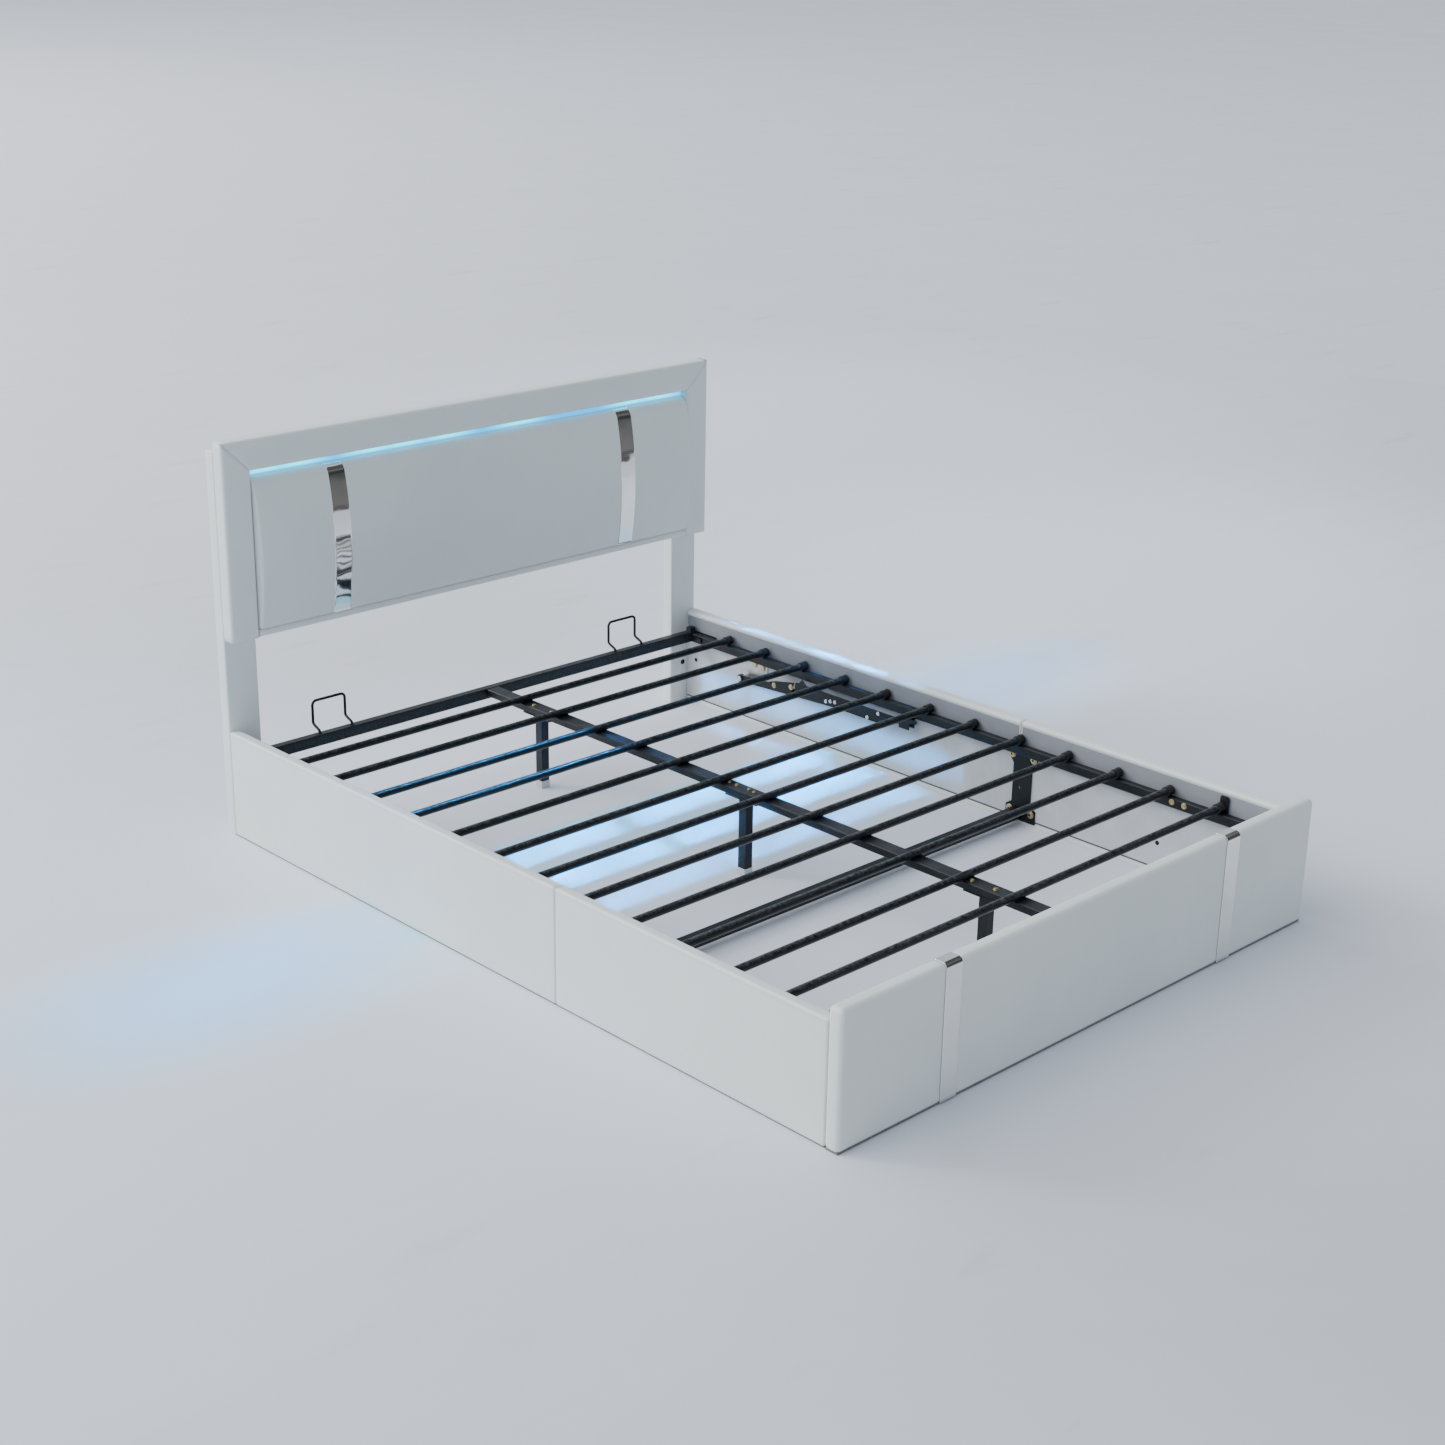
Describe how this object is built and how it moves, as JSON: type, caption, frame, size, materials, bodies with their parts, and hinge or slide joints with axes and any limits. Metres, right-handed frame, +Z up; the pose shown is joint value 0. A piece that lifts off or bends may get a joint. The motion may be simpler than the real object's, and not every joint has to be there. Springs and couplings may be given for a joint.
{
  "type": "upholstered storage bed",
  "caption": "Low bed with padded rails, a bordered headboard with a lit gap and chrome strips, and a slatted steel platform that lifts from the foot end.",
  "frame": {"origin": "on the floor under the middle of the bed", "axes": "+Z up, +Y towards the headboard, +X towards the right side seen from the foot"},
  "size_m": [1.6, 2.1556, 1.026],
  "materials": {
    "white_leather": "soft satin, fine grain",
    "backing_cloth": "non-woven cloth",
    "black_steel": "satin black powder coat",
    "zinc_plate": "dull zinc plate",
    "chrome_trim": "polished",
    "aluminium_channel": "satin",
    "light_diffuser": "milky, lit ice blue"
  },
  "bodies": {
    "base": {"headboard_post_left": "white_leather", "headboard_post_right": "white_leather", "headboard_border_left": "white_leather", "headboard_border_right": "white_leather", "headboard_border_top": "white_leather", "headboard_border_bottom": "white_leather", "headboard_back_board": "backing_cloth", "headboard_panel": "white_leather", "light_channel": "aluminium_channel", "light_strip": "light_diffuser", "headboard_strip_left": "chrome_trim", "headboard_strip_right": "chrome_trim", "side_rail_left_foot": "white_leather", "side_rail_left_head": "white_leather", "side_rail_right_foot": "white_leather", "side_rail_right_head": "white_leather", "footboard": "white_leather", "footboard_strip_left": "chrome_trim", "footboard_strip_right": "chrome_trim", "rail_tie_left": "black_steel", "rail_tie_right": "black_steel", "lower_cross_beam": "black_steel", "corner_bracket_left": "black_steel", "corner_bracket_right": "black_steel", "hinge_plate_left": "black_steel", "hinge_plate_right": "black_steel", "strut_mount_left": "zinc_plate", "strut_mount_right": "zinc_plate"},
    "platform": {"platform_side_left": "black_steel", "platform_side_right": "black_steel", "platform_head_bar": "black_steel", "platform_foot_bar": "black_steel", "platform_spine": "black_steel", "centre_leg_1": "black_steel", "centre_leg_2": "black_steel", "centre_leg_3": "black_steel", "slat_01": "black_steel", "slat_02": "black_steel", "slat_03": "black_steel", "slat_04": "black_steel", "slat_05": "black_steel", "slat_06": "black_steel", "slat_07": "black_steel", "slat_08": "black_steel", "slat_09": "black_steel", "slat_10": "black_steel", "slat_11": "black_steel", "slat_12": "black_steel", "mattress_loop_left": "black_steel", "mattress_loop_right": "black_steel", "mattress_guide_left": "black_steel", "mattress_guide_right": "black_steel", "strut_fork_left": "black_steel", "strut_fork_right": "black_steel", "strut_bar_left": "black_steel", "strut_bar_right": "black_steel"},
    "strut_rod_left": {"strut_rod_left": "black_steel"},
    "strut_cylinder_left": {"strut_cylinder_left": "black_steel"},
    "strut_rod_right": {"strut_rod_right": "black_steel"},
    "strut_cylinder_right": {"strut_cylinder_right": "black_steel"}
  },
  "joints": [
    {"name": "platform_lift", "type": "hinge", "parent": "base", "child": "platform", "pos_m": [0, 0.9588, 0.2115], "axis": [-1, 0, 0], "range_deg": [0, 28]},
    {"name": "strut_tilt_left", "type": "hinge", "parent": "base", "child": "strut_rod_left", "pos_m": [-0.745, 0.7838, 0.14], "axis": [-1, 0, 0], "range_deg": [0, 34.2]},
    {"name": "strut_slide_left", "type": "slide", "parent": "strut_rod_left", "child": "strut_cylinder_left", "axis": [0, -0.9984, 0.0562], "range_m": [0, 0.058]},
    {"name": "strut_tilt_right", "type": "hinge", "parent": "base", "child": "strut_rod_right", "pos_m": [0.745, 0.7838, 0.14], "axis": [-1, 0, 0], "range_deg": [0, 34.2]},
    {"name": "strut_slide_right", "type": "slide", "parent": "strut_rod_right", "child": "strut_cylinder_right", "axis": [0, -0.9984, 0.0562], "range_m": [0, 0.058]}
  ],
  "couplings": [
    {"joint": "strut_tilt_left", "follows": "platform_lift", "ratio": 1.218},
    {"joint": "strut_slide_left", "follows": "platform_lift", "m_per_rad": 0.1181},
    {"joint": "strut_tilt_right", "follows": "platform_lift", "ratio": 1.218},
    {"joint": "strut_slide_right", "follows": "platform_lift", "m_per_rad": 0.1181}
  ]
}
